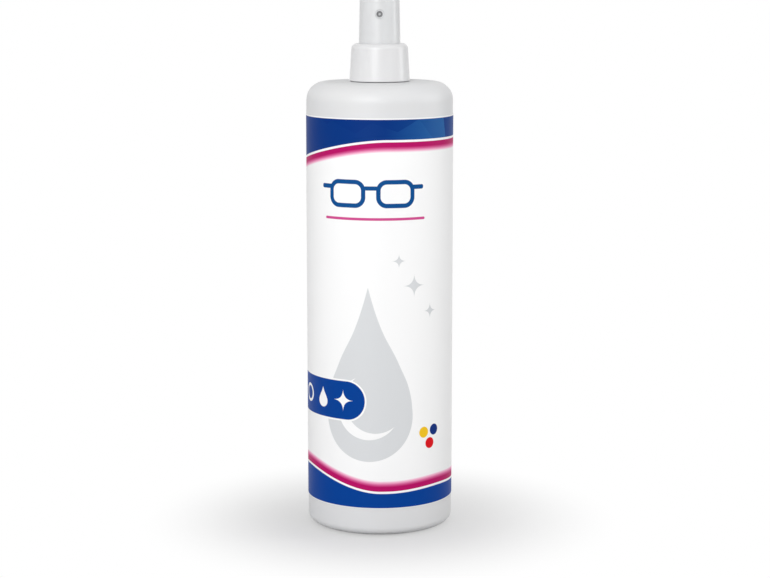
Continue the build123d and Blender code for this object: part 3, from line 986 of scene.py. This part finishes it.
# %% Lacquer the film
waves = add_node(tree, "TexNoise", {"Vector": film, "Scale": 1 / 9, "Detail": 2.0})
gloss = add_node(tree, "MapRange", {"Value": waves.outputs["Fac"], "To Min": 0.38, "To Max": 0.50})
lay = add_node(tree, "Bump", {"Strength": 1.0, "Distance": 0.02 * MM, "Height": waves.outputs["Fac"]})
film_shader = add_node(
    tree,
    "BsdfPrincipled",
    {
        "Base Color": paper,
        "Roughness": gloss.outputs["Result"],
        "IOR": 1.49,
        "Specular IOR Level": 0.06,
        "Normal": lay.outputs["Normal"],
    },
)
add_node(tree, "OutputMaterial", {"Surface": film_shader.outputs[0]})
print("made", film_material.name)

# %% [markdown]
# ## Wrap the label
# The film is a rectangle with rounded corners. It is cut into narrow columns, so that it can bend, and each
# point is carried round the bottle by as much as it lies to the side. Its flat shape is kept as a UV map
# before it bends, so the print bends with it. A tube would be quicker, but it has no seam and no corners.

# %% Cut the film and map it
columns, corner_radius = 220, 1.5
label = bmesh.new()
edge_u = film_width / 2
sheet_corners = [(u * MM, 0, v * MM) for v in (label_low.z, label_high.z) for u in (-edge_u, edge_u)]
low_left, low_right, top_left, top_right = [label.verts.new(corner) for corner in sheet_corners]
label.faces.new((low_left, low_right, top_right, top_left))
bmesh.ops.bevel(
    label,
    geom=label.verts[:],
    offset=corner_radius * MM,
    segments=6,
    profile=0.5,
    affect="VERTICES",
    material=-1,
)
for number in range(1, columns):
    bmesh.ops.bisect_plane(
        label,
        geom=label.verts[:] + label.edges[:] + label.faces[:],
        plane_co=((-edge_u + film_width * number / columns) * MM, 0, 0),
        plane_no=(1, 0, 0),
    )
uv_layer = label.loops.layers.uv.new("film")
for face in label.faces:
    for loop in face.loops:
        u, v = loop.vert.co.x / MM, loop.vert.co.z / MM
        loop[uv_layer].uv = (u / film_width + 0.5, (v - label_low.z) / film_height)
print("film:", len(label.faces), "columns")

# %% Wrap the film round the bottle
for vert in label.verts:
    angle = vert.co.x / MM / label_radius
    round_bottle = Vector((math.sin(angle), -math.cos(angle), 0)) * label_radius * MM
    vert.co = round_bottle + Vector((0, 0, vert.co.z))
bmesh.ops.recalc_face_normals(label, faces=label.faces[:])
label.faces.ensure_lookup_table()
if label.faces[0].normal.dot(label.faces[0].calc_center_median()) < 0:
    bmesh.ops.reverse_faces(label, faces=label.faces[:])
bmesh.ops.solidify(label, geom=label.faces[:], thickness=film_thickness * MM)
reach = max(vert.co.xy.length for vert in label.verts) / MM
print(f"the film reaches {reach:.3f} mm from the axis")
finish_piece("label", label, film_material, "bottle_body")

# %% [markdown]
# ## The gasket
# A washer of foam lies between the neck and the pump, and the closure presses on it. Its faces are flat
# where they are pressed, and its free edges swell out round. The CAD washer has sharp edges, as no foam does,
# so it is turned again with a large rounding at each corner.

# %% Turn the gasket
foam_bore, swell, lift = 5.4, 0.36, 0.01
gasket_low, gasket_high = low_high("neck_gasket")
# It lies a hair above the neck, so that no faces coincide.
foam_foot = gasket_low.z + lift
gasket = bmesh.new()
draw_outline(
    gasket,
    [
        (foam_bore, foam_foot, swell),
        (gasket_high.x, foam_foot, swell),
        (gasket_high.x, gasket_high.z, swell),
        (foam_bore, gasket_high.z, swell),
    ],
)
turn(gasket)
finish_piece("neck_gasket", gasket, gasket_foam, "pump_body")

# %% [markdown]
# ## The return spring
# It is wound from 0.5 mm wire in seven coils, and lifts the head again after each stroke. A stroke shortens
# it, and a rigid spring would go through its neighbours. Here it is a plain helix with a mesh of its own: its
# foot stays on the housing's ledge, and nothing makes it squash with the press. It can't be seen from
# outside.

# %% Wind the return spring
wire, coils = 0.5, 7
spring_low, spring_high = low_high("return_spring")
spring_height = spring_high.z - spring_low.z
wire_middle = spring_high.x - wire / 2
spring = bmesh.new()
quarter_turn = Matrix.Rotation(math.pi / 2, 4, "X")
bmesh.ops.create_circle(spring, segments=16, radius=wire / 2 * MM, matrix=quarter_turn)
first_coil = (wire_middle * MM, 0, (spring_low.z + wire / 2) * MM)
bmesh.ops.translate(spring, verts=spring.verts[:], vec=first_coil)
turn_helix(spring, coils, spring_height - wire, steps=48 * coils)
spring_piece = finish_piece("return_spring", spring, steel, "pump_body")
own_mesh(spring_piece)

# %% [markdown]
# ## The pieces inside
# The pump's other inner pieces keep their CAD shape, which already has their seals and bores. They aren't
# seen from outside, so a finer mesh would gain nothing, and they only get a material.

# %% Give the inner pieces their materials
inner_finishes = {
    "pump_housing": housing_plastic,
    "stem_guide": inner_plastic,
    "piston": piston_plastic,
    "stem": inner_plastic,
    "valve_poppet": inner_plastic,
    "check_ball": steel,
    "dip_tube": tube_plastic,
}
for node, finish in inner_finishes.items():
    for material_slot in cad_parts[node].material_slots:
        material_slot.material = finish
print("inner pieces:", len(inner_finishes))

# %% [markdown]
# ## Studio
# The bottle stands on a pale sheet that curves up behind it. To the camera, to reflections and through clear
# things the sheet is mixed with a plain white glow, which grows with the distance from the object. So the
# backdrop is white while the contact shadow stays. More light would whiten it too, but would bleach the
# object.

# %% Paper of the sweep


def backdrop_rays(tree):
    """1 for the rays that show a backdrop: the camera's, reflections and those through clear things."""
    rays = add_node(tree, "LightPath").outputs
    seen = add_node(
        tree, "Math", {0: rays["Is Camera Ray"], 1: rays["Is Glossy Ray"]}, operation="ADD"
    ).outputs[0]
    clear = {0: seen, 1: rays["Is Transmission Ray"]}
    return add_node(tree, "Math", clear, operation="ADD", use_clamp=True).outputs[0]


def studio_paper():
    """Pale paper that is white at a distance and keeps the shadow near the object."""
    material, tree = new_material("pale_studio_paper")
    place = add_node(tree, "TexCoord").outputs["Object"]
    away = add_node(tree, "VectorMath", {0: place}, operation="LENGTH").outputs["Value"]
    glow = add_node(
        tree,
        "MapRange",
        {"Value": away, "From Min": 0.02, "From Max": 0.085, "To Min": 0.45, "To Max": 1.0},
        interpolation_type="SMOOTHSTEP",
    ).outputs["Result"]
    share = add_node(tree, "Math", {0: backdrop_rays(tree), 1: glow}, operation="MULTIPLY").outputs[0]
    matt = add_node(tree, "BsdfDiffuse", {"Color": srgb("#F8F8F8")}).outputs[0]
    white = add_node(tree, "Emission", {"Color": (1, 1, 1, 1), "Strength": 1.0}).outputs[0]
    mixed = add_node(tree, "MixShader", {0: share, 1: matt, 2: white})
    add_node(tree, "OutputMaterial", {"Surface": mixed.outputs[0]})
    return material


# %% Bend the sweep
# The sheet is large, so its sizes are in metres.
left, right, near_end, far_end, top_end, bend = -3, 3, -1.6, 1.6, 1.8, 0.7
sweep = bmesh.new()
sweep_line = ((left, near_end, 0), (left, far_end, 0), (left, far_end, top_end))
sweep_points = [sweep.verts.new(point) for point in sweep_line]
for near, far in zip(sweep_points, sweep_points[1:]):
    sweep.edges.new((near, far))
bmesh.ops.bevel(
    sweep, geom=[sweep_points[1]], offset=bend, segments=24, profile=0.5, affect="VERTICES", material=-1
)
drawn_out = bmesh.ops.extrude_edge_only(sweep, edges=sweep.edges[:])["geom"]
moved = [part for part in drawn_out if isinstance(part, bmesh.types.BMVert)]
bmesh.ops.translate(sweep, verts=moved, vec=(right - left, 0, 0))
for face in sweep.faces:
    face.smooth = True
sweep_mesh = bpy.data.meshes.new("studio_sweep")
sweep.to_mesh(sweep_mesh)
sweep.free()
sweep_mesh.materials.append(studio_paper())
sweep_sheet = bpy.data.objects.new("studio_sweep", sweep_mesh)
scene.collection.objects.link(sweep_sheet)
print("sweep:", len(sweep_mesh.polygons), "faces")

# %% [markdown]
# ## Light
# A large soft box stands to the front left and a narrow one to the right. The body is lightest left of its
# middle and falls away to both sides, and the glossier head and closure have a slightly darker stripe right
# of theirs. By that the eye reads the round shapes. Even light from all sides would make them look flat. The
# lamps' places and sizes are in metres.

# %% Soft boxes and sky


def softbox(name, place, aim, width, height, watts):
    """A rectangular lamp that faces a point."""
    data = bpy.data.lights.new(name, "AREA")
    data.shape = "RECTANGLE"
    data.size = width
    data.size_y = height
    data.energy = watts
    lamp = bpy.data.objects.new(name, data)
    lamp.location = place
    lamp.rotation_euler = (Vector(aim) - Vector(place)).to_track_quat("-Z", "Y").to_euler()
    scene.collection.objects.link(lamp)


bottle_middle = (0, 0, 0.08)
softbox("key_left", (-0.36, -1.07, 0.6), bottle_middle, width=0.6, height=0.8, watts=9.1)
softbox("fill_right", (1.05, 0.08, 0.3), bottle_middle, width=0.25, height=0.9, watts=3.3)
world = bpy.data.worlds.new("studio")
scene.world = world
world.use_nodes = True
world_tree = world.node_tree
world_tree.nodes.clear()
sky = add_node(world_tree, "Background", {"Color": (1, 1, 1, 1), "Strength": 0.6}).outputs[0]
white = add_node(world_tree, "Background", {"Color": (1, 1, 1, 1), "Strength": 1.0}).outputs[0]
chosen = add_node(world_tree, "MixShader", {0: backdrop_rays(world_tree), 1: sky, 2: white})
add_node(world_tree, "OutputWorld", {"Surface": chosen.outputs[0]})
print("lamps:", [lamp.name for lamp in bpy.data.lights])

# %% [markdown]
# ## Finish
# Colours are shown as they are written, with the Standard view.

# %% Set the view
scene.view_settings.view_transform = "Standard"
